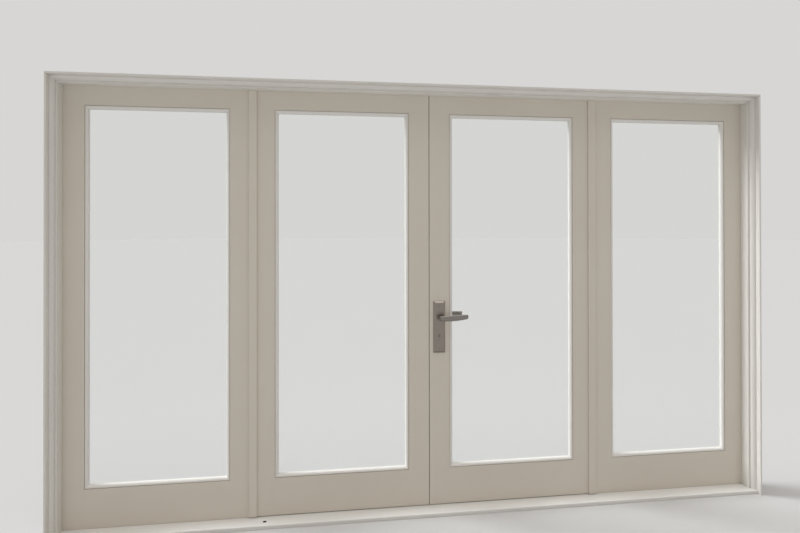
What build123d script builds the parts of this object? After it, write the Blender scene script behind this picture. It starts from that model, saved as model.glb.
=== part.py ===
from build123d import *
from math import degrees, pi, sqrt
import os

# French doors: two glazed doors between two fixed glazed sidelights, in a painted timber frame.
# Millimetres. X runs along the wall, to the right as seen from the room, Y runs outdoors and Z runs up.
# The origin is on the sill's underside, below the meeting line, in the plane of the sidelights' room face.

# The leaves
door_width = 852.0
door_height = 2040.0
leaf_thickness = 40.0
sidelight_width = 857.5
door_stile_width = 101.5
sidelight_stile_width = 105.0
door_top_rail = 100.0
door_bottom_rail = 178.0
meeting_gap = 3.0
hinge_gap = 3.0
door_top_gap = 3.0
door_bottom_gap = 3.0
closing_gap = 0.5
edge_ease = 1.0

# The glazing
glass_thickness = 6.0
glass_edge_gap = 3.0
glass_setback = 19.0
outer_lip = 11.0
lip_moulding = 9.0
bead_width = 17.0
bead_setback = 1.5
bead_quirk = 2.0
bead_quirk_depth = 4.0
bead_nose = 3.0
bead_bulge = 3.4

# The joints of the leaves
tenon_thickness = 14.0
tenon_length = 60.0
tenon_shoulder = 12.0
tenon_haunch = 25.0

# The outer frame
jamb_width = 35.0
stop_cover = 10.0
jamb_room_depth = 56.0
jamb_outer_depth = 60.0
jamb_ease = 1.5
lining_thickness = 8.0
lining_depth = 52.0
lining_round = 3.0
cover_bead_width = 18.0
cover_bead_depth = 23.0
cover_bead_fillet = 2.0
cover_bead_bulge = 4.5

# The sill
sill_thickness = 18.0
sill_room_depth = 87.3
sill_outer_depth = 95.0
sill_round = 5.0
sill_slope_start = 5.0
sill_fall = 7.0
drip_width = 4.0
drip_depth = 3.0
drip_inset = 7.0

# The stop strips over the joints between doors and sidelights
strip_width = 39.0
strip_thickness = 9.0
strip_round = 2.0
strip_bottom_gap = 4.0

# The frame's fixing holes
fixing_radius = 4.0
fixing_head_radius = 8.5
fixing_head_depth = 9.0
fixing_outdoor_gap = 10.0
fixing_end_distance = 220.0
fixing_inner_spacing = 540.0

# The hinges
hinge_height = 100.0
hinge_barrel_radius = 6.5
hinge_barrel_gap = 0.4
hinge_pin_radius = 3.5
pin_clearance = 0.08
hinge_plate_thickness = 2.5
hinge_plate_gap = 0.6
hinge_plate_width = 35.0
knuckle_gap = 0.4
knuckle_count = 3
finial_height = 6.0
finial_bevel = 3.5
hinge_from_bottom = 250.0
hinge_from_top = 200.0

# The lock and its furniture
backset = 48.5
spindle_height = 927.5
cylinder_drop = 92.0
lock_faceplate_width = 22.0
lock_faceplate_height = 236.0
lock_faceplate_thickness = 3.0
lock_case_depth = 74.0
lock_case_above = 46.0
lock_case_below = 130.0
lock_case_thickness = 16.0
lock_case_wall = 1.5
lock_case_clearance = 0.5
bolt_clearance = 0.3
latch_height = 20.0
latch_thickness = 11.0
latch_length = 36.0
latch_bevel = 8.0
latch_throw = 12.0
deadbolt_height = 32.0
deadbolt_thickness = 10.0
deadbolt_length = 56.0
deadbolt_throw = 18.0
follower_radius = 12.0
follower_gap = 0.3
strike_height = 186.0
strike_width = 22.0
strike_thickness = 2.5
strike_edge_gap = 1.0
strike_pocket_gap = 3.0

# The key cylinder
cylinder_round_radius = 8.5
cylinder_web_width = 10.0
cylinder_tail = 24.5
cylinder_proud = 2.0
cylinder_fit = 0.25
plug_radius = 6.5
cam_radius = 15.0
cam_width = 8.0
cam_thickness = 10.0
cam_gap = 0.5
key_slot_width = 2.4
key_slot_height = 8.5
key_slot_depth = 22.0

# The handle plates and levers
plate_width = 60.0
plate_height = 258.0
plate_depth = 10.0
plate_rim = 2.5
plate_bevel = 10.0
plate_corner = 3.0
plate_above_spindle = 82.0
plate_screw_from_top = 25.0
plate_screw_from_bottom = 18.0
plate_screw_radius = 2.5
plate_screw_head = 4.8
plate_screw_head_depth = 3.0
spindle_side = 8.0
spindle_hole_radius = 9.0
lever_neck_radius = 10.5
lever_length = 138.5
lever_swell = 4.5
lever_reach = 42.0
lever_tip_height = 22.0
lever_tip_thickness = 10.5
lever_tip_return = 9.0
lever_tip_rise = 5.0
lever_tip_bevel = 4.0
lever_collar = 9.0
lever_bevel_share = 0.3
lever_steps = 4
elbow_radius = 15.0
elbow_height = 27.0
elbow_thickness = 17.0
lever_socket_depth = 24.0

# The flush bolts in the left door's meeting stile
rod_radius = 4.0
rod_inset = 12.0
rod_clearance = 0.3
rod_length = 150.0
rod_setback = 1.0
rod_throw = 16.0
rod_hole_spare = 1.0
bolt_plate_width = 20.0
bolt_plate_thickness = 2.5
bolt_plate_margin = 14.0
bolt_plate_end_gap = 20.0
thumb_height = 14.0
thumb_width = 6.0
thumb_clearance = 1.0
keep_width = 24.0
keep_length = 46.0
keep_thickness = 2.0
keep_hole_gap = 0.5

# Places that follow from the sizes
OUTDOORS = Vector(0, 1, 0)
UP = Vector(0, 0, 1)
QUARTER_BULGE = 1 - sqrt(0.5)

door_inner_x = meeting_gap / 2
door_outer_x = door_inner_x + door_width
sidelight_inner_x = door_outer_x + hinge_gap
rebate_x = sidelight_inner_x + sidelight_width
sight_x = rebate_x - stop_cover
frame_x = sight_x + jamb_width
hinge_x = (door_outer_x + sidelight_inner_x) / 2

door_low_z = sill_thickness + door_bottom_gap
door_high_z = door_low_z + door_height
rebate_z = door_high_z + door_top_gap
sight_z = rebate_z - door_top_gap - stop_cover
frame_z = sight_z + jamb_width
quirk_low_z = door_low_z + door_bottom_rail
quirk_high_z = door_high_z - door_top_rail

door_room_y = closing_gap
door_outer_y = door_room_y + leaf_thickness
door_middle_y = door_room_y + leaf_thickness / 2
hinge_y = door_outer_y + hinge_barrel_radius + hinge_barrel_gap

spindle_x = door_inner_x + backset
spindle_z = door_low_z + spindle_height
cylinder_z = spindle_z - cylinder_drop
plate_high_z = spindle_z + plate_above_spindle
plate_low_z = plate_high_z - plate_height
plate_room_y = door_room_y - plate_depth
plate_outer_y = door_outer_y + plate_depth

os.makedirs("parts", exist_ok=True)


def save(name, solids):
    """Write one node; a list of solids stays a group of separate solids."""
    export_step(Compound(solids) if isinstance(solids, list) else solids, f"parts/{name}.step")


def block(x0, x1, y0, y1, z0, z1):
    """A box between two opposite corners."""
    middle = Pos((x0 + x1) / 2, (y0 + y1) / 2, (z0 + z1) / 2)
    return middle * Box(abs(x1 - x0), abs(y1 - y0), abs(z1 - z0))


def rod(start, end, radius):
    """A round bar from start to end."""
    start, end = Vector(*start), Vector(*end)
    disc = Face(Wire.make_circle(radius))
    return Solid.extrude(Plane(start, z_dir=end - start).location * disc, end - start)


def outline(start, *steps):
    """A closed flat face, drawn anticlockwise.

    A step is the next corner, with a third number where the side that leads to it is round: how far that
    side's middle stands out from a straight one.
    """
    here = Vector(*start)
    edges = []
    for x, y, *bulge in steps:
        corner = Vector(x, y)
        if bulge:
            side = (corner - here).normalized()
            middle = (here + corner) / 2 + side.cross(UP) * bulge[0]
            edges.append(Edge.make_three_point_arc(here, middle, corner))
        else:
            edges.append(Edge.make_line(here, corner))
        here = corner
    if (here - Vector(*start)).length > 0:
        edges.append(Edge.make_line(here, Vector(*start)))
    return Face(Wire(edges))


def run(section, start, end):
    """The moulding that a section makes from start to end.

    The section's first axis points inwards when the runs go clockwise as seen from the room, and its second
    outdoors.
    """
    along = (end - start).normalized()
    place = Plane(start, x_dir=OUTDOORS.cross(along), z_dir=along)
    return Solid.extrude(place.location * section, end - start)


def mitred(section, corners, size, closed=True):
    """Runs of one section between corners, with a mitre where two runs meet. size is more than its width."""
    pieces = []
    last = len(corners) if closed else len(corners) - 1
    for n in range(last):
        a, b = corners[n], corners[(n + 1) % len(corners)]
        along = (b - a).normalized()
        inwards = OUTDOORS.cross(along)
        from_a = inwards + (along if closed or n > 0 else Vector())
        from_b = inwards - (along if closed or n < last - 1 else Vector())
        wedge = Face(Wire.make_polygon([a, b, b + from_b * size, a + from_a * size]))
        wedge = Solid.extrude(Location(OUTDOORS * -size) * wedge, OUTDOORS * size * 2)
        pieces.append((run(section, a, b) & wedge).solid())
    return pieces


def mirrored(shape):
    """The same piece on the other side of the meeting line."""
    if isinstance(shape, list):
        return [mirrored(s) for s in shape]
    return mirror(shape, about=Plane.YZ).solid()


def outside(shape):
    """The same piece on the other face of a door."""
    return mirror(shape, about=Plane((0, door_middle_y, 0), z_dir=(0, 1, 0))).solid()


# The hinge: two plates let into the edges of the leaves, knuckles in turn on each, and a loose pin

hinge_places = [
    door_low_z + hinge_from_bottom,
    (door_low_z + hinge_from_bottom + door_high_z - hinge_from_top) / 2,
    door_high_z - hinge_from_top,
]
plate_from_axis = hinge_plate_gap / 2


def hinge_plate(middle_z, side):
    """The flat of a hinge leaf: side is 1 on the sidelight and -1 on the door."""
    near = hinge_x + side * plate_from_axis
    far = near + side * hinge_plate_thickness
    low, high = middle_z - hinge_height / 2, middle_z + hinge_height / 2
    return block(near, far, hinge_y - hinge_plate_width, hinge_y, low, high)


def hinge_leaf(middle_z, side):
    """A hinge leaf with its knuckles: the first and the last are the sidelight's."""
    low, high = middle_z - hinge_height / 2, middle_z + hinge_height / 2
    pitch = hinge_height / knuckle_count
    leaf = hinge_plate(middle_z, side)
    for n in range(knuckle_count):
        bottom, top = low + n * pitch, low + (n + 1) * pitch
        mine = n % 2 == (0 if side > 0 else 1)
        if mine:
            bottom += knuckle_gap / 2 if n > 0 else 0
            top -= knuckle_gap / 2 if n < knuckle_count - 1 else 0
            leaf += rod((hinge_x, hinge_y, bottom), (hinge_x, hinge_y, top), hinge_barrel_radius)
        else:
            room = hinge_barrel_radius + knuckle_gap
            bottom -= knuckle_gap / 2 if n > 0 else 0
            top += knuckle_gap / 2 if n < knuckle_count - 1 else 0
            leaf -= rod((hinge_x, hinge_y, bottom), (hinge_x, hinge_y, top), room)
    leaf -= rod((hinge_x, hinge_y, low), (hinge_x, hinge_y, high), hinge_pin_radius + pin_clearance)
    return leaf.solid()


def hinge_pin(middle_z):
    """A pin through the knuckles, with a bevelled finial on each end."""
    half = hinge_height / 2
    end = half + finial_height
    section = outline(
        (0, -end),
        (hinge_barrel_radius - finial_bevel, -end),
        (hinge_barrel_radius, finial_bevel - end),
        (hinge_barrel_radius, -half),
        (hinge_pin_radius, -half),
        (hinge_pin_radius, half),
        (hinge_barrel_radius, half),
        (hinge_barrel_radius, end - finial_bevel),
        (hinge_barrel_radius - finial_bevel, end),
        (0, end),
    )
    place = Plane((hinge_x, hinge_y, middle_z), x_dir=(1, 0, 0), z_dir=(0, -1, 0))
    return Solid.revolve(place.location * section, 360, Axis((hinge_x, hinge_y, 0), (0, 0, 1)))


# A glazed leaf: two stiles, two rails, a pane held from the room's side and its four beads


def stile_section(width, thickness):
    """From the leaf's edge at 0 to the glass: a rebate on the room's side and a moulded lip outdoors."""
    rebate = glass_setback + glass_thickness
    tip = width + outer_lip
    return outline(
        (edge_ease, 0),
        (width, 0),
        (width, rebate),
        (tip, rebate),
        (tip, thickness - lip_moulding),
        (tip - lip_moulding, thickness, QUARTER_BULGE * lip_moulding),
        (edge_ease, thickness),
        (0, thickness - edge_ease),
        (0, edge_ease),
    )


bead_section = outline(
    (0, bead_setback + bead_quirk_depth),
    (bead_quirk, bead_setback + bead_quirk_depth),
    (bead_quirk, bead_setback),
    (bead_quirk + bead_nose, bead_setback),
    (bead_width, glass_setback - bead_nose, bead_bulge),
    (bead_width, glass_setback),
    (0, glass_setback),
)


def leaf(name, x0, x1, z0, z1, stile_width, room_y, flip=False, cuts=None):
    """Write a leaf's six nodes. It is built on the right, and flip gives the one on the left.

    cuts gives, for inner_stile and outer_stile, what is cut out of that stile for the hinges and the lock.
    """
    cuts = cuts or {}
    flat = stile_section(stile_width, leaf_thickness)
    low, high = Vector(x0, room_y, z0), Vector(x0, room_y, z1)
    inner = run(flat, low, high)
    outer = run(flat, Vector(x1, room_y, z1), Vector(x1, room_y, z0))
    left_x, right_x = x0 + stile_width, x1 - stile_width
    tenon_y = room_y + leaf_thickness / 2
    rails = {}
    for rail, edge_z, quirk_z in (("bottom_rail", z0, quirk_low_z), ("top_rail", z1, quirk_high_z)):
        section = stile_section(abs(quirk_z - edge_z), leaf_thickness)
        ends = Vector(left_x, room_y, edge_z), Vector(right_x, room_y, edge_z)
        bar = run(section, *(ends if rail == "top_rail" else reversed(ends))) - inner - outer
        up = 1 if quirk_z > edge_z else -1
        tenon_low, tenon_high = edge_z + up * tenon_haunch, quirk_z - up * tenon_shoulder
        tenon = block(
            left_x - tenon_length,
            right_x + tenon_length,
            tenon_y - tenon_thickness / 2,
            tenon_y + tenon_thickness / 2,
            tenon_low,
            tenon_high,
        )
        rails[rail] = (bar + tenon).solid()
    for rail in rails.values():
        inner -= rail
        outer -= rail
    for cut in cuts.get("inner_stile", []):
        inner -= cut
    for cut in cuts.get("outer_stile", []):
        outer -= cut
    glass_y = room_y + glass_setback
    pane = block(
        left_x + glass_edge_gap,
        right_x - glass_edge_gap,
        glass_y,
        glass_y + glass_thickness,
        quirk_low_z + glass_edge_gap,
        quirk_high_z - glass_edge_gap,
    )
    corners = [
        Vector(left_x, room_y, quirk_low_z),
        Vector(left_x, room_y, quirk_high_z),
        Vector(right_x, room_y, quirk_high_z),
        Vector(right_x, room_y, quirk_low_z),
    ]
    nodes = {
        "inner_stile": inner.solid(),
        "outer_stile": outer.solid(),
        "bottom_rail": rails["bottom_rail"],
        "top_rail": rails["top_rail"],
        "glass": pane.solid(),
        "glazing_beads": mitred(bead_section, corners, bead_width * 2),
    }
    for node, shape in nodes.items():
        save(f"{name}_{node}", mirrored(shape) if flip else shape)


# The lock: a case with a sprung latch, a deadbolt, a follower for the spindle, and a key cylinder

faceplate_z = spindle_z - (lock_case_below - lock_case_above) / 2
latch_z = spindle_z
deadbolt_low_z = cylinder_z + cam_radius + 3
deadbolt_z = deadbolt_low_z + deadbolt_height / 2
case_front_x = door_inner_x + lock_faceplate_thickness
case_back_x = case_front_x + lock_case_depth
case_low_z, case_high_z = spindle_z - lock_case_below, spindle_z + lock_case_above
mid_y = door_middle_y


def centred(x0, x1, thickness, z, height):
    """A box in the middle of a door's thickness, about a height."""
    return block(x0, x1, mid_y - thickness / 2, mid_y + thickness / 2, z - height / 2, z + height / 2)


def cylinder_profile(spare, start_y, end_y):
    """The pear-shaped outline of a key cylinder, from one face to the other, with spare room all round."""
    radius, half = cylinder_round_radius + spare, cylinder_web_width / 2 + spare
    tail = cylinder_tail + spare
    whole = rod((spindle_x, start_y, cylinder_z), (spindle_x, end_y, cylinder_z), radius)
    whole += block(spindle_x - half, spindle_x + half, start_y, end_y, cylinder_z, cylinder_z - tail + half)
    foot = cylinder_z - tail + half
    whole += rod((spindle_x, start_y, foot), (spindle_x, end_y, foot), half)
    return whole.solid()


latch_window = centred(
    0,
    case_front_x + lock_case_wall,
    latch_thickness + 2 * bolt_clearance,
    latch_z,
    latch_height + 2 * bolt_clearance,
)
deadbolt_window = centred(
    0,
    case_front_x + lock_case_wall,
    deadbolt_thickness + 2 * bolt_clearance,
    deadbolt_z,
    deadbolt_height + 2 * bolt_clearance,
)

lock_faceplate = centred(
    door_inner_x, case_front_x, lock_faceplate_width, faceplate_z, lock_faceplate_height
)
faceplate_recess = lock_faceplate
lock_faceplate = lock_faceplate - latch_window - deadbolt_window

case_middle_z = (case_low_z + case_high_z) / 2
case_height = case_high_z - case_low_z
lock_case = centred(case_front_x, case_back_x, lock_case_thickness, case_middle_z, case_height)
lock_case -= centred(
    case_front_x + lock_case_wall,
    case_back_x - lock_case_wall,
    lock_case_thickness - 2 * lock_case_wall,
    case_middle_z,
    case_height - 2 * lock_case_wall,
)
lock_case -= latch_window
lock_case -= deadbolt_window
lock_case -= rod(
    (spindle_x, mid_y - lock_case_thickness, spindle_z),
    (spindle_x, mid_y + lock_case_thickness, spindle_z),
    spindle_hole_radius,
)
lock_case -= cylinder_profile(cylinder_fit, mid_y - lock_case_thickness, mid_y + lock_case_thickness)

latch = centred(door_inner_x, door_inner_x + latch_length, latch_thickness, latch_z, latch_height)
nose = outline(
    (door_inner_x - 1, mid_y - latch_thickness),
    (door_inner_x + latch_bevel, mid_y - latch_thickness / 2),
    (door_inner_x, mid_y + latch_thickness / 2 - 2),
    (door_inner_x - 1, mid_y + latch_thickness / 2 - 2),
)
latch -= Solid.extrude(Location((0, 0, latch_z - latch_height)) * nose, UP * latch_height * 2)

deadbolt = centred(
    door_inner_x, door_inner_x + deadbolt_length, deadbolt_thickness, deadbolt_z, deadbolt_height
)

case_inside = lock_case_thickness - 2 * lock_case_wall
spindle = centred(
    spindle_x - spindle_side / 2,
    spindle_x + spindle_side / 2,
    2 * (mid_y - plate_room_y + lever_socket_depth),
    spindle_z,
    spindle_side,
)
follower_half = case_inside / 2 - follower_gap
follower = rod(
    (spindle_x, mid_y - follower_half, spindle_z),
    (spindle_x, mid_y + follower_half, spindle_z),
    follower_radius,
)
follower -= spindle

cylinder_start_y = plate_room_y - cylinder_proud
cylinder_end_y = plate_outer_y + cylinder_proud
cylinder = cylinder_profile(0, cylinder_start_y, cylinder_end_y)
cylinder -= rod(
    (spindle_x, cylinder_start_y, cylinder_z),
    (spindle_x, cylinder_end_y, cylinder_z),
    plug_radius + pin_clearance,
)
cam_slot = cam_thickness + 2 * cam_gap
cylinder -= block(
    spindle_x - cylinder_round_radius * 2,
    spindle_x + cylinder_round_radius * 2,
    mid_y - cam_slot / 2,
    mid_y + cam_slot / 2,
    cylinder_z - cam_radius - cam_gap,
    cylinder_z + cylinder_round_radius * 2,
)
plug = rod((spindle_x, cylinder_start_y, cylinder_z), (spindle_x, cylinder_end_y, cylinder_z), plug_radius)
cam_tip = cam_radius - cam_width / 2
plug += block(
    spindle_x - cam_width / 2,
    spindle_x + cam_width / 2,
    mid_y - cam_thickness / 2,
    mid_y + cam_thickness / 2,
    cylinder_z - cam_tip,
    cylinder_z,
)
plug += rod(
    (spindle_x, mid_y - cam_thickness / 2, cylinder_z - cam_tip),
    (spindle_x, mid_y + cam_thickness / 2, cylinder_z - cam_tip),
    cam_width / 2,
)
for face_y, inwards in ((cylinder_start_y, 1), (cylinder_end_y, -1)):
    plug -= block(
        spindle_x - key_slot_width / 2,
        spindle_x + key_slot_width / 2,
        face_y,
        face_y + inwards * key_slot_depth,
        cylinder_z - key_slot_height / 2,
        cylinder_z + key_slot_height / 2,
    )

# The handle plates, their through screws and the levers

plate_z = (plate_low_z + plate_high_z) / 2
screw_places = [plate_high_z - plate_screw_from_top, plate_low_z + plate_screw_from_bottom]


def face_rectangle(y, width, height, corner):
    """A rounded rectangle standing on a handle plate's middle, facing the room."""
    place = Plane((spindle_x, y, plate_z), x_dir=(1, 0, 0), z_dir=(0, -1, 0))
    return place.location * RectangleRounded(width, height, corner).face()


rim_y = door_room_y - plate_rim
handle_plate = Solid.extrude(
    face_rectangle(door_room_y, plate_width, plate_height, plate_corner), OUTDOORS * -plate_rim
)
handle_plate += Solid.make_loft(
    [
        face_rectangle(rim_y, plate_width, plate_height, plate_corner).outer_wire(),
        face_rectangle(
            plate_room_y, plate_width - 2 * plate_bevel, plate_height - 2 * plate_bevel, plate_corner
        ).outer_wire(),
    ],
    ruled=True,
)
handle_plate -= rod(
    (spindle_x, door_room_y, spindle_z),
    (spindle_x, plate_room_y, spindle_z),
    lever_neck_radius + pin_clearance,
)
handle_plate -= cylinder_profile(cylinder_fit, plate_room_y, door_room_y)


def plate_screw(z):
    """A countersunk screw from the inside plate's face through the door into the outside plate."""
    shank = rod((spindle_x, plate_room_y, z), (spindle_x, plate_outer_y - plate_rim, z), plate_screw_radius)
    place = Plane((spindle_x, plate_room_y, z), z_dir=OUTDOORS)
    head = Solid.make_cone(plate_screw_head, plate_screw_radius, plate_screw_head_depth, place)
    return (shank + head).solid()


plate_screws = [plate_screw(z) for z in screw_places]
inside_plate, outside_plate = handle_plate.solid(), outside(handle_plate)
for screw in plate_screws:
    inside_plate -= screw
    outside_plate -= screw

# The lever: a round neck, an elbow and a flat arm that swells, thins and turns back a little to the tip
# Each station is its distances from the spindle and the plate, its rise, height, thickness and turn.
neck_side = 2 * lever_neck_radius
neck_station = (0, lever_collar, 0, neck_side, neck_side, 0)
elbow_start = (0, lever_reach - elbow_radius, 0, elbow_height, elbow_thickness, 0)
tip_slope = 2 * lever_tip_return / (lever_length - elbow_radius)
tip_end = (
    lever_length,
    lever_reach - lever_tip_return - lever_tip_bevel * tip_slope,
    lever_tip_rise,
    lever_tip_height - 2 * lever_tip_bevel,
    lever_tip_thickness - lever_tip_bevel,
    90 + degrees(tip_slope),
)


def arm_station(t):
    """Where the arm is and how large: t is 0 at the elbow and 1 where the tip's bevel starts."""
    return (
        elbow_radius + (lever_length - lever_tip_bevel - elbow_radius) * t,
        lever_reach - lever_tip_return * t**2,
        lever_tip_rise * t**2,
        elbow_height + (lever_tip_height - elbow_height) * t + lever_swell * 4 * t * (1 - t),
        elbow_thickness + (lever_tip_thickness - elbow_thickness) * t,
        90 + degrees(tip_slope) * t,
    )


def lever_section(distance, out, rise, height, thickness, turn):
    """A bevelled rectangle across the lever; turn is 0 where it leaves the plate and 90 along the door."""
    high, wide = height / 2, thickness / 2
    bevel = thickness * lever_bevel_share
    section = outline(
        (high - bevel, -wide),
        (high, -wide + bevel),
        (high, wide - bevel),
        (high - bevel, wide),
        (-high + bevel, wide),
        (-high, wide - bevel),
        (-high, -wide + bevel),
        (-high + bevel, -wide),
    )
    travel = Vector(0, -1, 0).rotate(Axis.Z, turn)
    place = Plane((spindle_x + distance, plate_room_y - out, spindle_z + rise), x_dir=UP, z_dir=travel)
    return place.location * section


def lever_part(*stations):
    """A stretch of the lever, straight from station to station."""
    return Solid.make_loft([lever_section(*station).outer_wire() for station in stations], ruled=True)


elbow_axis = Axis((spindle_x + elbow_radius, plate_room_y - lever_reach + elbow_radius, 0), (0, 0, 1))
lever = rod(
    (spindle_x, door_room_y - plate_rim, spindle_z),
    (spindle_x, plate_room_y - lever_collar, spindle_z),
    lever_neck_radius,
)
lever += lever_part(neck_station, elbow_start)
lever += Solid.revolve(lever_section(*elbow_start), 90, elbow_axis)
lever += lever_part(*[arm_station(step / lever_steps) for step in range(lever_steps + 1)], tip_end)
lever -= spindle

# The flush bolts: a rod in the left door's meeting stile, moved by a thumb piece in a slotted plate

rod_x = -door_inner_x - rod_inset


def flush_bolt(end_z, up):
    """Plate, rod and what is cut from the stile at its end; up is 1 at the head and -1 at the sill."""
    tip_z = end_z - up * rod_setback
    root_z = tip_z - up * rod_length
    thumb_z = root_z + up * thumb_height / 2
    slot_low = root_z - up * thumb_clearance
    slot_high = root_z + up * (thumb_height + rod_throw + thumb_clearance)
    plate_low = slot_low - up * bolt_plate_margin
    plate_high = end_z - up * bolt_plate_end_gap
    face_x = -door_inner_x
    plate = block(
        face_x,
        face_x - bolt_plate_thickness,
        mid_y - bolt_plate_width / 2,
        mid_y + bolt_plate_width / 2,
        plate_low,
        plate_high,
    )
    slot_half = thumb_width / 2 + thumb_clearance
    slot = block(face_x, rod_x, mid_y - slot_half, mid_y + slot_half, slot_low, slot_high)
    bar = rod((rod_x, mid_y, root_z), (rod_x, mid_y, tip_z), rod_radius)
    thumb_x = face_x - closing_gap
    thumb = block(
        rod_x,
        thumb_x,
        mid_y - thumb_width / 2,
        mid_y + thumb_width / 2,
        thumb_z - thumb_height / 2,
        thumb_z + thumb_height / 2,
    )
    channel = rod((rod_x, mid_y, slot_low), (rod_x, mid_y, end_z), rod_radius + rod_clearance)
    return (plate - slot).solid(), (bar + thumb).solid(), [plate, slot, channel]


def bolt_keep(face_z, up):
    """A flat plate let into the head or sill, with a round hole, and what is cut from the timber."""
    back_z = face_z + up * keep_thickness
    plate = block(
        rod_x - keep_length / 2,
        rod_x + keep_length / 2,
        mid_y - keep_width / 2,
        mid_y + keep_width / 2,
        face_z,
        back_z,
    )
    end_z = (door_high_z if up > 0 else door_low_z) + up * (rod_throw - rod_setback + rod_hole_spare)
    hole = rod((rod_x, mid_y, face_z), (rod_x, mid_y, end_z), rod_radius + keep_hole_gap)
    return (plate - hole).solid(), [plate, hole]


top_plate, top_rod, top_cuts = flush_bolt(door_high_z, 1)
bottom_plate, bottom_rod, bottom_cuts = flush_bolt(door_low_z, -1)
head_keep, head_cuts = bolt_keep(rebate_z, 1)
sill_keep, sill_cuts = bolt_keep(sill_thickness, -1)

# The strike plate in the left door's edge, facing the lock

strike_z = faceplate_z
strike_back_x = -door_inner_x - strike_thickness
strike_block = centred(-door_inner_x, strike_back_x, strike_width, strike_z, strike_height)
latch_pocket_x = -door_inner_x - latch_throw - strike_pocket_gap
deadbolt_pocket_x = -door_inner_x - deadbolt_throw - strike_pocket_gap
latch_pocket = centred(
    0, latch_pocket_x, latch_thickness + 2 * strike_edge_gap, latch_z, latch_height + 2 * strike_edge_gap
)
deadbolt_pocket = centred(
    0,
    deadbolt_pocket_x,
    deadbolt_thickness + 2 * strike_edge_gap,
    deadbolt_z,
    deadbolt_height + 2 * strike_edge_gap,
)
strike_plate = strike_block - latch_pocket - deadbolt_pocket

# What the lock takes out of the right door's meeting stile
case_mortice = centred(
    case_front_x - 1,
    case_back_x + lock_case_clearance,
    lock_case_thickness + 2 * lock_case_clearance,
    case_middle_z,
    case_height + 2 * lock_case_clearance,
)
lock_cuts = [
    faceplate_recess,
    case_mortice,
    rod((spindle_x, door_room_y, spindle_z), (spindle_x, door_outer_y, spindle_z), spindle_hole_radius),
    cylinder_profile(cylinder_fit, door_room_y, door_outer_y),
] + plate_screws

# The doors and sidelights, in pairs about the meeting line

hinge_cuts = [hinge_plate(z, -1) for z in hinge_places]
fixed_cuts = [hinge_plate(z, 1) for z in hinge_places]
bolt_and_strike_cuts = top_cuts + bottom_cuts + [strike_block, latch_pocket, deadbolt_pocket]
left_door_cuts = [mirrored(cut.solid()) for cut in bolt_and_strike_cuts]
door_size = (door_inner_x, door_outer_x, door_low_z, door_high_z, door_stile_width, door_room_y)
leaf("left_door", *door_size, flip=True, cuts={"inner_stile": left_door_cuts, "outer_stile": hinge_cuts})
leaf("right_door", *door_size, cuts={"inner_stile": lock_cuts, "outer_stile": hinge_cuts})
sidelight_size = (sidelight_inner_x, rebate_x, sill_thickness, rebate_z, sidelight_stile_width, 0)
leaf("left_sidelight", *sidelight_size, flip=True, cuts={"inner_stile": fixed_cuts})
leaf("right_sidelight", *sidelight_size, cuts={"inner_stile": fixed_cuts})

# The frame: jambs and head with one rebate, the sill, the reveal linings and the quarter-round cover beads

jamb_section = outline(
    (0, -jamb_room_depth),
    (jamb_width - jamb_ease, -jamb_room_depth),
    (jamb_width, jamb_ease - jamb_room_depth),
    (jamb_width, 0),
    (jamb_width - stop_cover, 0),
    (jamb_width - stop_cover, jamb_outer_depth),
    (0, jamb_outer_depth),
)
head_section = outline(
    (0, -jamb_room_depth),
    (jamb_width - jamb_ease, -jamb_room_depth),
    (jamb_width, jamb_ease - jamb_room_depth),
    (jamb_width, 0),
    (frame_z - rebate_z, 0),
    (frame_z - rebate_z, jamb_outer_depth),
    (0, jamb_outer_depth),
)
head = run(head_section, Vector(-frame_x, 0, frame_z), Vector(frame_x, 0, frame_z))
jamb = run(jamb_section, Vector(frame_x, 0, frame_z), Vector(frame_x, 0, sill_thickness)) - head
fixing_y = leaf_thickness + fixing_outdoor_gap
fixing_middle_z = (door_low_z + door_high_z) / 2
for spacing in (door_height - 2 * fixing_end_distance, fixing_inner_spacing):
    for z in (fixing_middle_z - spacing / 2, fixing_middle_z + spacing / 2):
        jamb -= rod((rebate_x, fixing_y, z), (frame_x, fixing_y, z), fixing_radius)
        jamb -= rod((rebate_x, fixing_y, z), (rebate_x + fixing_head_depth, fixing_y, z), fixing_head_radius)
for cut in head_cuts:
    head -= cut
save("head_jamb", head.solid())
save("right_jamb", jamb.solid())
save("left_jamb", mirrored(jamb.solid()))

lining_z = frame_z - lining_thickness
lining_x = frame_x - lining_thickness
lining_front_y = -jamb_room_depth - lining_depth
sill_top = sill_thickness
slope_y = door_outer_y + sill_slope_start
drip_outer_y = sill_outer_depth - drip_inset
drip_inner_y = drip_outer_y - drip_width
sill_section = outline(
    (-sill_room_depth, 0),
    (drip_inner_y, 0),
    (drip_inner_y, drip_depth),
    (drip_outer_y, drip_depth),
    (drip_outer_y, 0),
    (sill_outer_depth, 0),
    (sill_outer_depth, sill_top - sill_fall),
    (slope_y, sill_top),
    (sill_round - sill_room_depth, sill_top),
    (-sill_room_depth, sill_top - sill_round, QUARTER_BULGE * sill_round),
)
across = Plane((-frame_x, 0, 0), x_dir=(0, 1, 0), z_dir=(1, 0, 0))
sill = Solid.extrude(across.location * sill_section, Vector(2 * frame_x, 0, 0))
for side in (-1, 1):
    sill -= block(side * lining_x, side * frame_x, lining_front_y, -jamb_room_depth, 0, sill_top)
for cut in sill_cuts:
    sill -= cut
save("sill", sill.solid())
save("bolt_keeps", [head_keep, sill_keep])

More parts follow.
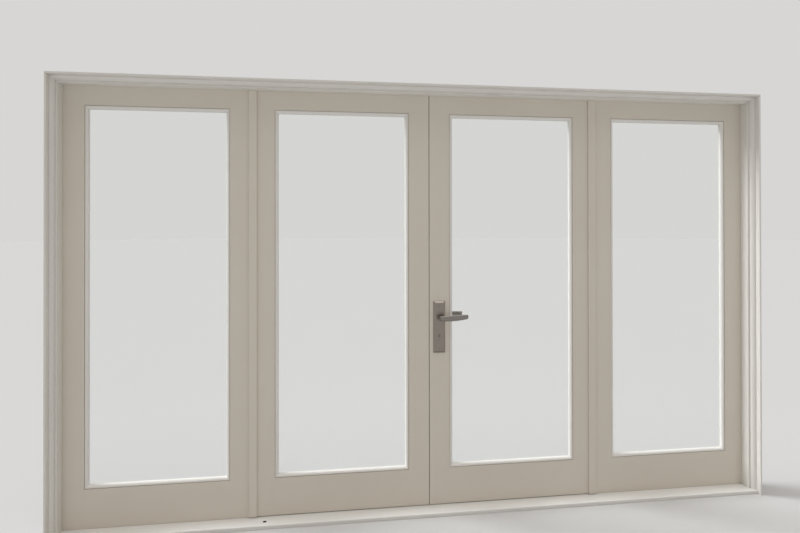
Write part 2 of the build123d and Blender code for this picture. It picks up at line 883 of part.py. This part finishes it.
lining_section = outline(
    (0, -jamb_room_depth),
    (0, lining_front_y),
    (lining_thickness - lining_round, lining_front_y),
    (lining_thickness, lining_front_y + lining_round, QUARTER_BULGE * lining_round),
    (lining_thickness, -jamb_room_depth),
)
side_lining = run(lining_section, Vector(frame_x, 0, lining_z), Vector(frame_x, 0, 0))
save("right_reveal_lining", side_lining)
save("left_reveal_lining", mirrored(side_lining))
save("head_reveal_lining", run(lining_section, Vector(-frame_x, 0, frame_z), Vector(frame_x, 0, frame_z)))

cover_section = outline(
    (0, -jamb_room_depth),
    (0, -jamb_room_depth - cover_bead_depth),
    (cover_bead_fillet, -jamb_room_depth - cover_bead_depth),
    (cover_bead_width, -jamb_room_depth - cover_bead_fillet, cover_bead_bulge),
    (cover_bead_width, -jamb_room_depth),
)
cover_corners = [
    Vector(-lining_x, 0, sill_top),
    Vector(-lining_x, 0, lining_z),
    Vector(lining_x, 0, lining_z),
    Vector(lining_x, 0, sill_top),
]
cover_size = jamb_room_depth + 2 * cover_bead_depth
covers = mitred(cover_section, cover_corners, cover_size, closed=False)
for side, piece in zip(("left", "head", "right"), covers):
    save(f"{side}_cover_bead", piece)

strip_section = outline(
    (0, -strip_thickness + strip_round),
    (strip_round, -strip_thickness, QUARTER_BULGE * strip_round),
    (strip_width - strip_round, -strip_thickness),
    (strip_width, -strip_thickness + strip_round, QUARTER_BULGE * strip_round),
    (strip_width, 0),
    (0, 0),
)
strip_x = hinge_x - strip_width / 2
strip = run(strip_section, Vector(strip_x, 0, sill_top + strip_bottom_gap), Vector(strip_x, 0, sight_z))
save("right_stop_strip", strip)
save("left_stop_strip", mirrored(strip))

# The hardware

door_hinges = [hinge_leaf(z, -1) for z in hinge_places]
fixed_hinges = [hinge_leaf(z, 1) for z in hinge_places]
pins = [hinge_pin(z) for z in hinge_places]
save("right_door_hinge_leaves", door_hinges)
save("left_door_hinge_leaves", mirrored(door_hinges))
save("frame_hinge_leaves", fixed_hinges + mirrored(fixed_hinges))
save("hinge_pins", pins + mirrored(pins))

save("lock_case", lock_case.solid())
save("lock_faceplate", lock_faceplate.solid())
save("latch_bolt", latch.solid())
save("deadbolt", deadbolt.solid())
save("lock_follower", follower.solid())
save("handle_spindle", spindle.solid())
save("key_cylinder", cylinder.solid())
save("cylinder_plug", plug.solid())
save("strike_plate", strike_plate.solid())
save("inside_handle_plate", inside_plate.solid())
save("outside_handle_plate", outside_plate.solid())
save("handle_plate_screws", plate_screws)
save("inside_lever", lever.solid())
save("outside_lever", outside(lever.solid()))
save("top_bolt_plate", top_plate)
save("bottom_bolt_plate", bottom_plate)
save("top_bolt_rod", top_rod)
save("bottom_bolt_rod", bottom_rod)

print("deadbolt travel for a full turn of the key:", round(deadbolt_throw / (2 * pi), 4), "mm a radian")
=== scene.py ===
import math

import bmesh
import bpy
from mathutils import Matrix, Vector


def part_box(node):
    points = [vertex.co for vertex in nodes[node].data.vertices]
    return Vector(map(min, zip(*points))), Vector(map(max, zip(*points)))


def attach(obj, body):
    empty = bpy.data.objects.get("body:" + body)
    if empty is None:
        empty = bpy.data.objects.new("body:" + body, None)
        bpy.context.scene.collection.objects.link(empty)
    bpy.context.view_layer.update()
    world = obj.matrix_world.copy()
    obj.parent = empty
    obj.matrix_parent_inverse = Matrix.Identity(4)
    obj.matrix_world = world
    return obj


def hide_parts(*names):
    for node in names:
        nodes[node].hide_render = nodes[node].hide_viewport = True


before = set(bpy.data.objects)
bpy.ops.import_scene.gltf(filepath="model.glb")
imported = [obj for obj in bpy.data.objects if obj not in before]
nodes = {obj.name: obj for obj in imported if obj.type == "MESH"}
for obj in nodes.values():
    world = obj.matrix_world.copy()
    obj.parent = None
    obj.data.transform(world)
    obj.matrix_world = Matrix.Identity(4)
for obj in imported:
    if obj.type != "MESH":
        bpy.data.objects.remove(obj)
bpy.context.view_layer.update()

# The viewpoint
# Standing eye height indoors, left of the meeting line, with a wide lens that is shifted down so that the
# uprights stay upright. The pose was fitted to the edges of the leaves on an 800 x 533 picture.
lens = bpy.data.cameras.new("viewpoint")
lens.lens = 27.0
lens.sensor_width = 36.0
lens.shift_y = -0.0564
viewpoint = bpy.data.objects.new("viewpoint", lens)
viewpoint.location = (-0.572, -2.932, 1.412)
viewpoint.rotation_euler = [math.radians(degrees) for degrees in (90.27, 0.07, -8.26)]
bpy.context.scene.collection.objects.link(viewpoint)
bpy.context.scene.camera = viewpoint


# The painted frame: jambs, head, sill, reveal linings and cover beads
# Softwood bars, primed and brushed with a white semi-gloss enamel. The brush is laid off along each bar, so
# the faint tracks run up the jambs and along the head and sill.
def linear(code):
    """An sRGB hex colour as the linear colour that a shader takes."""
    parts = [int(code[n : n + 2], 16) / 255 for n in (1, 3, 5)]
    return [c / 12.92 if c <= 0.04045 else ((c + 0.055) / 1.055) ** 2.4 for c in parts] + [1.0]


def feed(material, node, inputs):
    """Gives each input of a node its value, or a link from the socket that is given."""
    for socket, value in inputs.items():
        if isinstance(value, bpy.types.NodeSocket):
            material.node_tree.links.new(value, node.inputs[socket])
        else:
            node.inputs[socket].default_value = value


def add(material, kind, inputs=None, **settings):
    """Adds one node: settings are its own fields, and inputs go to its sockets."""
    node = material.node_tree.nodes.new(kind)
    for field, value in settings.items():
        setattr(node, field, value)
    feed(material, node, inputs or {})
    return node


def surface(name):
    """A new material with its Principled shader and the coordinates that its patterns read."""
    material = bpy.data.materials.new(name)
    material.use_nodes = True
    place = add(material, "ShaderNodeTexCoord").outputs["Object"]
    return material, material.node_tree.nodes["Principled BSDF"], place


sideways, upwards = 0, 2  # the axis that a bar and its brush tracks run along
colour_a, colour_b, colour_out = 6, 7, 2  # a Mix node's colour sockets, which share their names with others
# painted shade: the dark grey-brown that the enamels take in their corners and creases
corner_shade_colour = "#8F8373"


def brushed_enamel(name, light, shade, along, corner_shade_share):
    """Semi-gloss enamel, laid off with the brush along one axis.

    It gives a soft sheen, faint brush tracks and arrises that the paint has rounded. It also paints shade
    into the
    corners: where ambient occlusion finds a corner or crease, the colour is mixed towards a dark grey-brown.
    Real bristle tracks are under 1 mm apart. They are drawn 6 mm apart, because finer ones don't show at this
    size.
    """
    material, shader, place = surface(name)
    track, length, ridge, patch, arris, corner = 0.006, 0.4, 0.0003, 0.45, 0.0012, 0.009
    stretch = [1 / track] * 3
    stretch[along] = 1 / length
    laid = add(material, "ShaderNodeMapping", {"Vector": place, "Scale": stretch}, vector_type="POINT")
    tracks = add(material, "ShaderNodeTexNoise", {"Vector": laid.outputs[0], "Scale": 1.0, "Detail": 2.0})
    patches = add(material, "ShaderNodeTexNoise", {"Vector": place, "Scale": 1 / patch, "Detail": 3.0})
    coat = add(
        material,
        "ShaderNodeMix",
        {"Factor": patches.outputs[0], colour_a: linear(shade), colour_b: linear(light)},
        data_type="RGBA",
    )
    # painted shade: ambient occlusion over a short distance darkens the colour in corners and creases
    open_air = add(material, "ShaderNodeAmbientOcclusion", {"Distance": corner}, samples=8)
    corner_shade = add(
        material,
        "ShaderNodeMapRange",
        {
            "Value": open_air.outputs["AO"],
            "From Min": 0.3,
            "From Max": 0.8,
            "To Min": corner_shade_share,
            "To Max": 0.0,
        },
    )
    colour = add(
        material,
        "ShaderNodeMix",
        {"Factor": corner_shade.outputs[0], colour_a: coat.outputs[colour_out], colour_b: linear(corner_shade_colour)},
        data_type="RGBA",
    )
    sheen = add(
        material,
        "ShaderNodeMapRange",
        {"Value": tracks.outputs[0], "From Min": 0.3, "From Max": 0.7, "To Min": 0.34, "To Max": 0.44},
    )
    rounded = add(material, "ShaderNodeBevel", {"Radius": arris}, samples=4)
    bump = add(
        material,
        "ShaderNodeBump",
        {"Height": tracks.outputs[0], "Strength": 0.1, "Distance": ridge, "Normal": rounded.outputs[0]},
    )
    feed(
        material,
        shader,
        {
            "Base Color": colour.outputs[colour_out],
            "Roughness": sheen.outputs[0],
            "Normal": bump.outputs[0],
            "IOR": 1.5,
        },
    )
    return material


def dress(material, *names):
    """Gives CAD nodes a material through their own material slots."""
    for name in names:
        for slot in nodes[name].material_slots:
            slot.material = material


# The frame, sill and leaves share one white enamel. The copies differ as painted light: the frame's is
# lighter than the leaves', and the sill's is lighter still, for the daylight that falls on its top.
frame_white, sill_lit_white = ("#E6E4DF", "#DFDCD6"), ("#EAE9E6", "#E5E4E0")
frame_corner_shade = 0.35
frame_upright = brushed_enamel("white_enamel_brushed_upright", *frame_white, upwards, frame_corner_shade)
frame_across = brushed_enamel("white_enamel_brushed_across", *frame_white, sideways, frame_corner_shade)
sill_paint = brushed_enamel("lit_white_enamel_on_sill", *sill_lit_white, sideways, corner_shade_share=0.2)
for side in ("left", "right"):
    dress(frame_upright, f"{side}_jamb", f"{side}_reveal_lining", f"{side}_cover_bead")
dress(frame_across, "head_jamb", "head_reveal_lining", "head_cover_bead")
dress(sill_paint, "sill")

# The leaves: stiles, rails and glazing beads of doors and sidelights, and the stop strips over their joints
# Softwood bars with tenoned rails. Their copy of the white enamel is darker and warmer than the frame's, as
# painted shade for faces that turn away from the daylight. The beads are pinned against the glass. Their copy
# is the whitest, as painted light for the daylight that falls on them through the glass.
leaf_shaded_white, bead_lit_white = ("#DFD9CD", "#D8D1C4"), ("#ECEAE6", "#E5E3DE")
leaf_corner_shade = 0.15
leaf_upright = brushed_enamel("shaded_warm_white_enamel_brushed_upright", *leaf_shaded_white, upwards, leaf_corner_shade)
leaf_across = brushed_enamel("shaded_warm_white_enamel_brushed_across", *leaf_shaded_white, sideways, leaf_corner_shade)
bead_paint = brushed_enamel("lit_white_enamel_on_beads", *bead_lit_white, upwards, corner_shade_share=0.05)
dress(leaf_upright, "left_stop_strip", "right_stop_strip")
leaves = ("left_sidelight", "left_door", "right_door", "right_sidelight")
for leaf in leaves:
    dress(leaf_upright, f"{leaf}_inner_stile", f"{leaf}_outer_stile")
    dress(leaf_across, f"{leaf}_bottom_rail", f"{leaf}_top_rail")
    dress(bead_paint, f"{leaf}_glazing_beads")

# The panes
# Clear float glass, 6 mm, held by the beads against an outdoor lip. It is flat and smooth, with a slight
# green cast and a clean mirror at a low angle.
float_glass, shader, _ = surface("clear_float_glass")
clear = {"Base Color": linear("#FCFEFD"), "Roughness": 0.0, "IOR": 1.52, "Transmission Weight": 1.0}
feed(float_glass, shader, clear)
for leaf in leaves:
    dress(float_glass, f"{leaf}_glass")
    nodes[f"{leaf}_glass"].visible_shadow = False  # clear glass lets the daylight through


# The handle plates
# Die-cast zinc, satin chrome plated after linear brushing. They mirror softly, drawn out across the brush
# lines. Each is screwed to its side of the stile.
def brushed_metal(name, light, shade, roughness, line, along):
    """Metal with a linear brushed grain: line is the spacing of the scratches in metres, along their axis.

    Real scratches are under 0.1 mm apart. They are drawn 0.6 mm or more apart, because finer ones don't show.
    """
    material, shader, place = surface(name)
    scratch, groove, gloss_spread = line * 60, line / 8, 0.06
    stretch = [1 / line] * 3
    stretch[along] = 1 / scratch
    laid = add(material, "ShaderNodeMapping", {"Vector": place, "Scale": stretch}, vector_type="POINT")
    grain = add(material, "ShaderNodeTexNoise", {"Vector": laid.outputs[0], "Scale": 1.0, "Detail": 4.0})
    colour = add(
        material,
        "ShaderNodeMix",
        {"Factor": grain.outputs[0], colour_a: linear(shade), colour_b: linear(light)},
        data_type="RGBA",
    )
    gloss = add(
        material,
        "ShaderNodeMapRange",
        {"Value": grain.outputs[0], "To Min": roughness - gloss_spread, "To Max": roughness + gloss_spread},
    )
    bump = add(material, "ShaderNodeBump", {"Height": grain.outputs[0], "Strength": 0.2, "Distance": groove})
    feed(
        material,
        shader,
        {
            "Base Color": colour.outputs[colour_out],
            "Metallic": 1.0,
            "Roughness": gloss.outputs[0],
            "Normal": bump.outputs[0],
        },
    )
    return material


satin_plate = brushed_metal(
    "satin_chrome_brushed_plate", "#9A928B", "#8E867E", roughness=0.3, line=0.0006, along=upwards
)
dress(satin_plate, "inside_handle_plate", "outside_handle_plate", "handle_plate_screws")

# The levers: one inside and one outside, on the same square spindle
# Die-cast zinc, satin chrome plated, smoother than the plates. A round neck bends through an elbow into a
# flat arm with soft edges, which thins and turns back a little at its tip. The outside one is mirrored.
satin_lever = brushed_metal(
    "satin_chrome_lever", "#928D88", "#847F7A", roughness=0.2, line=0.0006, along=sideways
)
dress(satin_lever, "inside_lever", "outside_lever")
low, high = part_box("handle_spindle")
spindle = (low + high) / 2
plate_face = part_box("inside_handle_plate")[0].y


def lever_frame(x, out, rise, turn, height, thickness):
    """Where a section of the lever lies, how it is turned and how large it is."""
    place = Matrix.Translation((spindle.x + x, plate_face - out, spindle.z + rise))
    standing = Matrix(((0, 1, 0, 0), (0, 0, 1, 0), (1, 0, 0, 0), (0, 0, 0, 1)))  # height up, thickness across
    turned = Matrix.Rotation(math.radians(turn), 4, "Z") @ standing
    return place @ turned @ Matrix.Diagonal((height / 2, thickness / 2, 1, 1))


def squared(u, v, power):
    """A point of the unit circle, moved out to a rounded square; a power of 2 keeps the circle."""
    size = (abs(u) ** power + abs(v) ** power) ** (1 / power)
    return Vector((u / size, v / size, 0))


def lever_stations():
    """Section by section from the plate to the tip: x, out, rise, turn, height, thickness and squareness."""
    neck, elbow_start, elbow_radius, elbow_thickness = 0.021, 0.027, 0.015, 0.0175
    arm_out, arm_length, arm_height, arm_thickness, soft_square = 0.042, 0.119, 0.027, 0.017, 2.4
    tip_back, tip_rise, tip_turn = 0.009, 0.005, 8.7
    lowering, belly, thinning = 0.005, 0.018, 0.0065
    yield (0, -0.0025, 0, 0, neck, neck), 2.0
    yield (0, 0.009, 0, 0, neck, neck), 2.0
    yield (0, 0.018, 0, 0, 0.0245, 0.020), 2.2
    yield (0, elbow_start, 0, 0, arm_height, 0.018), soft_square
    for turn in (22.5, 45.0, 67.5, 90.0):
        angle = math.radians(turn)
        x = elbow_radius * (1 - math.cos(angle))
        out = elbow_start + elbow_radius * math.sin(angle)
        yield (x, out, 0, turn, arm_height, elbow_thickness), soft_square
    steps = 6
    for step in range(1, steps + 1):
        t = step / steps
        x = elbow_radius + arm_length * t
        out = arm_out - tip_back * t * t
        height = arm_height - lowering * t + belly * t * (1 - t)
        thickness = arm_thickness - thinning * t
        yield (x, out, tip_rise * t * t, 90 + tip_turn * t, height, thickness), soft_square
    yield (0.137, 0.0326, tip_rise, 90 + tip_turn, 0.0195, 0.0085), 2.3
    yield (0.1385, 0.0324, tip_rise, 90 + tip_turn, 0.0145, 0.0055), 2.2


def ends_of(edges):
    """The vertices of some edges, each once."""
    return list(dict.fromkeys(vert for edge in edges for vert in edge.verts))


def cast_lever():
    """One lever in a bmesh: a ring drawn out from section to section, and closed at both ends."""
    work = bmesh.new()
    bmesh.ops.create_circle(work, segments=16, radius=1.0)
    ring, before = list(work.edges), None
    for section, power in lever_stations():
        back = Matrix.Identity(4)
        if before is not None:
            grown = bmesh.ops.extrude_edge_only(work, edges=ring)["geom"]
            ring = [part for part in grown if isinstance(part, bmesh.types.BMEdge)]
            back = before.inverted()
        now = lever_frame(*section)
        for vert in ends_of(ring):
            flat = back @ vert.co
            vert.co = now @ squared(flat.x, flat.y, power)
        before = now
    bmesh.ops.holes_fill(work, edges=[edge for edge in work.edges if edge.is_boundary], sides=0)
    bmesh.ops.recalc_face_normals(work, faces=work.faces)
    return work


def shown(name, work, material, smooth=False):
    """Makes one object of a bmesh, in its place and in its material."""
    mesh = bpy.data.meshes.new(name)
    work.to_mesh(mesh)
    work.free()
    for face in mesh.polygons:
        face.use_smooth = smooth
    mesh.materials.append(material)
    made = bpy.data.objects.new(name, mesh)
    bpy.context.scene.collection.objects.link(made)
    return made


def piece(name, work, body, material, smooth=False):
    """Makes one piece of a bmesh: it rides on its body."""
    made = shown(name, work, material, smooth)
    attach(made, body)
    return made


for node, mirrored in (("inside_lever", False), ("outside_lever", True)):
    work = cast_lever()
    if mirrored:
        across = Matrix.Translation((0, 2 * spindle.y, 0)) @ Matrix.Diagonal((1, -1, 1, 1))
        bmesh.ops.transform(work, matrix=across, verts=work.verts)
        bmesh.ops.recalc_face_normals(work, faces=work.faces)
    made = piece(f"smooth_{node}", work, "lever_set", satin_lever, smooth=True)
    rounding = made.modifiers.new("rounding", "SUBSURF")
    rounding.levels = rounding.render_levels = 2
    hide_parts(node)

# The lock: case, faceplate, latch, deadbolt, follower, spindle, strike plate
# A mortice lock: dull zinc-plated steel sheet inside the stile, and brushed stainless steel, grey and finely
# lined, where it shows at the meeting edge. The strike plate is let into the left door.
stainless = brushed_metal(
    "brushed_stainless_steel", "#BDBBB7", "#A9A7A3", roughness=0.32, line=0.0007, along=upwards
)
zinc_plated = brushed_metal(
    "zinc_plated_steel", "#AEB0AF", "#9DA0A0", roughness=0.42, line=0.002, along=upwards
)
dress(stainless, "lock_faceplate", "strike_plate", "latch_bolt", "deadbolt")
dress(zinc_plated, "lock_case", "lock_follower", "handle_spindle")

# The key cylinder
# Brass, turned, milled and nickel plated. The plating is a little warmer and smoother than the plate's.
nickel = brushed_metal(
    "nickel_plated_brass", "#9A9389", "#8C857C", roughness=0.28, line=0.0008, along=upwards
)
dress(nickel, "key_cylinder", "cylinder_plug")

# The hinges and the flush bolts
# Pressed and rolled stainless steel leaves on a steel pin, screwed to the edges of doors and sidelights, and
# drawn steel bolts that slide in milled plates, which are let into the left door's edge.
dress(stainless, "frame_hinge_leaves", "left_door_hinge_leaves", "right_door_hinge_leaves", "hinge_pins")
dress(stainless, "bolt_keeps", "top_bolt_plate", "bottom_bolt_plate", "top_bolt_rod", "bottom_bolt_rod")

# The screws: in the hinges, faceplate, strike plate, bolt plates, keeps and handle plate, and one in the sill
# Countersunk stainless steel wood screws with a cross recess, driven until the head stands 0.2 mm proud.
# Their shallow recesses, and the whole head of the one in the sill, whose plug is lost, are dark as painted
# shade.
# painted shade: a dark matt material for the screw recesses, the keyways and the sill screw's head
recess_shade, shader, place = surface("painted_shade_in_recesses")
grain = 0.0008  # a coarse speckle in its roughness, so that it shows; coarser than real dirt, so that it shows
speckle = add(recess_shade, "ShaderNodeTexNoise", {"Vector": place, "Scale": 1 / grain})
rough = add(recess_shade, "ShaderNodeMapRange", {"Value": speckle.outputs[0], "To Min": 0.6, "To Max": 0.9})
dull = {"Base Color": linear("#3B3733"), "Roughness": rough.outputs[0], "Specular IOR Level": 0.1}
feed(recess_shade, shader, dull)


def screw_head(work, radius):
    """One head in a bmesh, facing up from its plate's plane, with a cross recess and a closed underside."""
    proud, lip, sunk = 0.0002, 0.00003, 0.0012
    recess = 0.00017  # a deeper one would be covered by the plate's own face
    crown, cross, arm, half_arm = 0.8 * radius, 0.6 * radius, 0.58 * radius, 0.15 * radius
    flanks, recess_walls = ((1.25, lip), (0.6, -sunk)), ((0.8, proud - recess),)
    segments, half_segment = 12, Matrix.Rotation(math.radians(15), 3, "Z")
    loops = []
    for size in (crown, cross):
        verts = bmesh.ops.create_circle(work, segments=segments, radius=size)["verts"]
        bmesh.ops.rotate(work, verts=verts, cent=(0, 0, 0), matrix=half_segment)
        loops.append(verts)
    for vert in loops[1]:
        reach = [arm if abs(part) > 0.9 * cross else half_arm for part in vert.co.xy]
        vert.co.xy = [math.copysign(far, part) for far, part in zip(reach, vert.co.xy)]
    made = loops[0] + loops[1]
    for vert in made:
        vert.co.z = proud
    rings = [list(dict.fromkeys(edge for vert in verts for edge in vert.link_edges)) for verts in loops]
    bmesh.ops.bridge_loops(work, edges=rings[0] + rings[1])
    for ring, steps, shaded in ((rings[0], flanks, False), (rings[1], recess_walls, True)):
        for scale, height in steps:
            grown = bmesh.ops.extrude_edge_only(work, edges=ring)["geom"]
            ring = [part for part in grown if isinstance(part, bmesh.types.BMEdge) and part.is_boundary]
            for vert in ends_of(ring):
                vert.co = (vert.co.x * scale, vert.co.y * scale, height)
            made += ends_of(ring)
        closing = bmesh.ops.holes_fill(work, edges=ring, sides=0)["faces"]
        if shaded:
            for face in {face for end in closing for vert in end.verts for face in vert.link_faces}:
                face.material_index = 1
    return made


def screws(name, body, facing, places, radius, metal, slot):
    """The heads of one plate's screws, which all face the same way, each turned differently."""
    work = bmesh.new()
    stands = facing.to_track_quat("Z", "Y").to_matrix().to_4x4()
    for number, place in enumerate(places):
        verts = screw_head(work, radius)
        turn = Matrix.Rotation(math.radians(37 + 53 * number), 4, "Z")
        bmesh.ops.transform(work, matrix=Matrix.Translation(place) @ stands @ turn, verts=verts)
    bmesh.ops.recalc_face_normals(work, faces=work.faces)
    made = piece(name, work, body, metal)
    made.data.materials.append(recess_shade)
    return made


steel = (stainless, "steel_hardware")
hinge_screw, edge_screw, handle_screw, sill_plug = 0.0036, 0.0032, 0.0046, 0.009  # radii of the heads
door_face, fixed_face = 0.8547, 0.8553  # how far from the meeting line the two leaves of a hinge show
hinge_heights = (0.271, 1.066, 1.861)
zigzag = ((-0.038, 0.031), (-0.014, 0.019), (0.014, 0.031), (0.038, 0.019))
hinge_spots = [(z + up, y) for z in hinge_heights for up, y in zigzag]
for side, name in ((1, "right"), (-1, "left")):
    for screws_name, body, face, way in (
        (f"{name}_door_hinge_screws", f"{name}_door", door_face, side),
        (f"{name}_sidelight_hinge_screws", "frame", fixed_face, -side),
    ):
        spots = [Vector((side * face, y, z)) for z, y in hinge_spots]
        screws(screws_name, body, Vector((way, 0, 0)), spots, hinge_screw, *steel)

for node, body, side, inset in (
    ("lock_faceplate", "right_door", -1, 0.008),
    ("strike_plate", "left_door", 1, 0.0065),
    ("top_bolt_plate", "left_door", 1, 0.007),
    ("bottom_bolt_plate", "left_door", 1, 0.007),
):
    low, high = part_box(node)
    face = low.x if side < 0 else high.x
    middle = (low.y + high.y) / 2 if node == "lock_faceplate" else spindle.y
    spots = [Vector((face, middle, z)) for z in (low.z + inset, high.z - inset)]
    screws(f"{node}_screws", body, Vector((side, 0, 0)), spots, edge_screw, *steel)

keep_low, keep_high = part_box("bolt_keeps")
keep_x, keep_hole, keep_thickness = (keep_low.x + keep_high.x) / 2, 0.017, 0.002
sill_top, head_face = 0.018, keep_high.z - keep_thickness
for name, up, z in (("sill", 1, sill_top), ("head", -1, head_face)):
    spots = [Vector((keep_x + way * keep_hole, spindle.y, z)) for way in (-1, 1)]
    screws(f"{name}_keep_screws", "frame", Vector((0, 0, up)), spots, edge_screw, *steel)

low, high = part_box("inside_handle_plate")
top_inset, foot_inset = 0.025, 0.018
spots = [Vector((spindle.x, low.y, z)) for z in (high.z - top_inset, low.z + foot_inset)]
plate_finish = (satin_plate, "satin_chrome")
screws("handle_plate_screw_heads", "right_door", Vector((0, -1, 0)), spots, handle_screw, *plate_finish)
sill_spot = [Vector((-0.7965, -0.050, sill_top))]
sill_screw = screws("sill_screw", "frame", Vector((0, 0, 1)), sill_spot, sill_plug, *steel)
# painted shade: the whole head is dark, standing in for the open plug hole
sill_screw.data.materials[0] = recess_shade

# The keyways: one in each end of the cylinder's plug, lined with painted shade
# Broached through the plug. A thin dark sheet lines each one as painted shade, so a keyway shows as a dark
# stroke.
cylinder_z, keyway_width, keyway_height, keyway_depth, film = 0.8565, 0.0023, 0.0084, 0.021, 0.0001
low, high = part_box("cylinder_plug")
for side, face_y, name in ((1, low.y, "inside_keyway_painted_shade"), (-1, high.y, "outside_keyway_painted_shade")):
    work = bmesh.new()
    middle = Vector((spindle.x, face_y + side * (keyway_depth / 2 + film), cylinder_z))
    size = Matrix.Diagonal((keyway_width, keyway_depth, keyway_height, 1))
    bmesh.ops.create_cube(work, size=1.0, matrix=Matrix.Translation(middle) @ size)
    mouth = [face for face in work.faces if face.normal.y * side < -0.9]
    bmesh.ops.inset_individual(work, faces=mouth, thickness=film)
    grown = bmesh.ops.extrude_face_region(work, geom=mouth)["geom"]
    deep_end = [part for part in grown if isinstance(part, bmesh.types.BMVert)]
    bmesh.ops.delete(work, geom=mouth, context="FACES_ONLY")
    bmesh.ops.translate(work, verts=deep_end, vec=(0, side * (keyway_depth - film), 0))
    bmesh.ops.recalc_face_normals(work, faces=work.faces)
    piece(name, work, "cylinder_plug", recess_shade)

# The glazing tape: a white foam strip on each pane, between the glass and the beads
# Closed-cell foam with adhesive on both sides, cut into the corners. It is a little narrower than the bead,
# and from outdoors it shows through the glass as a pale band inside the leaf's lip.
foam_tape, shader, place = surface("white_foam_glazing_tape")
cell = 0.0015  # coarser than real foam cells, so that it shows
cells = add(foam_tape, "ShaderNodeTexNoise", {"Vector": place, "Scale": 1 / cell})
rough = add(foam_tape, "ShaderNodeMapRange", {"Value": cells.outputs[0], "To Min": 0.6, "To Max": 0.8})
feed(foam_tape, shader, {"Base Color": linear("#E2DFD8"), "Roughness": rough.outputs[0]})
outer, inner, near, far = 0.0032, 0.0165, 0.00005, 0.0002
tape_section = ((outer, near), (inner, near), (inner, far), (outer, far))
for leaf in leaves:
    low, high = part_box(f"{leaf}_glazing_beads")
    pane_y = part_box(f"{leaf}_glass")[0].y
    work = bmesh.new()
    rings = []
    for inset, depth in tape_section:
        left, right, foot, top = low.x + inset, high.x - inset, low.z + inset, high.z - inset
        corners = ((left, foot), (right, foot), (right, top), (left, top))
        verts = [work.verts.new((x, pane_y + depth, z)) for x, z in corners]
        rings.append([work.edges.new((verts[n - 1], verts[n])) for n in range(4)])
    for n in range(4):
        bmesh.ops.bridge_loops(work, edges=rings[n - 1] + rings[n])
    bmesh.ops.recalc_face_normals(work, faces=work.faces)
    body = leaf if leaf.endswith("door") else "frame"
    piece(f"{leaf}_glazing_tape", work, body, foam_tape)

# The stage
# A pale matt floor that keeps the shadow of the doors, in the same tone as the pale background behind it.
floor_paint, shader, _ = surface("pale_matt_floor")
feed(floor_paint, shader, {"Base Color": linear("#C8C7C6"), "Roughness": 1.0, "Specular IOR Level": 0.0})
work = bmesh.new()
bmesh.ops.create_circle(work, cap_ends=True, radius=60.0, segments=96)
floor = shown("floor", work, floor_paint)

# The studio
# Even light, a little stronger and cooler from outdoors and from above, and warmer from indoors. The camera,
# the glass and the metal all see the same plain pale background.
world = bpy.data.worlds.new("studio")
bpy.context.scene.world = world
world.use_nodes = True
world.node_tree.nodes.clear()
brighter_side = (-0.30, 0.55, 0.78)
direction = add(world, "ShaderNodeTexCoord").outputs["Generated"]
dot = add(world, "ShaderNodeVectorMath", {0: direction, 1: brighter_side}, operation="DOT_PRODUCT")
facing = {"Value": dot.outputs["Value"], "From Min": -1.0}
level = add(world, "ShaderNodeMapRange", {**facing, "To Min": 0.24, "To Max": 0.64})
share = add(world, "ShaderNodeMapRange", facing)
tint = add(
    world,
    "ShaderNodeMix",
    {"Factor": share.outputs[0], colour_a: linear("#FFECD9"), colour_b: linear("#F6F9FF")},
    data_type="RGBA",
)
studio = add(
    world, "ShaderNodeBackground", {"Color": tint.outputs[colour_out], "Strength": level.outputs[0]}
)
backdrop = add(world, "ShaderNodeBackground", {"Color": linear("#D7D6D4"), "Strength": 1.0})
path = add(world, "ShaderNodeLightPath")
seen = path.outputs["Is Camera Ray"]
for ray in ("Is Glossy Ray", "Is Transmission Ray"):
    seen = add(world, "ShaderNodeMath", {0: seen, 1: path.outputs[ray]}, operation="MAXIMUM").outputs[0]
both = add(world, "ShaderNodeMixShader", {0: seen, 1: studio.outputs[0], 2: backdrop.outputs[0]})
add(world, "ShaderNodeOutputWorld", {"Surface": both.outputs[0]})

# The lamps
# Broad daylight from outdoors, left and above, comes through the panes and brightens what faces left or up.
# A wide soft box overhead, a little to the indoor side, lights the sill and the levers' tops.
for name, energy, width, colour, towards in (
    ("daylight", 2.1, 28, (0.95, 0.98, 1.0), (-0.72, 0.27, 0.64)),
    ("soft_box", 0.9, 60, (1.0, 0.97, 0.92), (0, -0.15, 0.98)),
):
    light = bpy.data.lights.new(name, "SUN")
    light.energy = energy
    light.angle = math.radians(width)
    light.color = colour
    lamp = bpy.data.objects.new(name, light)
    lamp.rotation_euler = Vector(towards).to_track_quat("Z", "Y").to_euler()
    bpy.context.scene.collection.objects.link(lamp)

bpy.context.scene.view_settings.view_transform = "Standard"
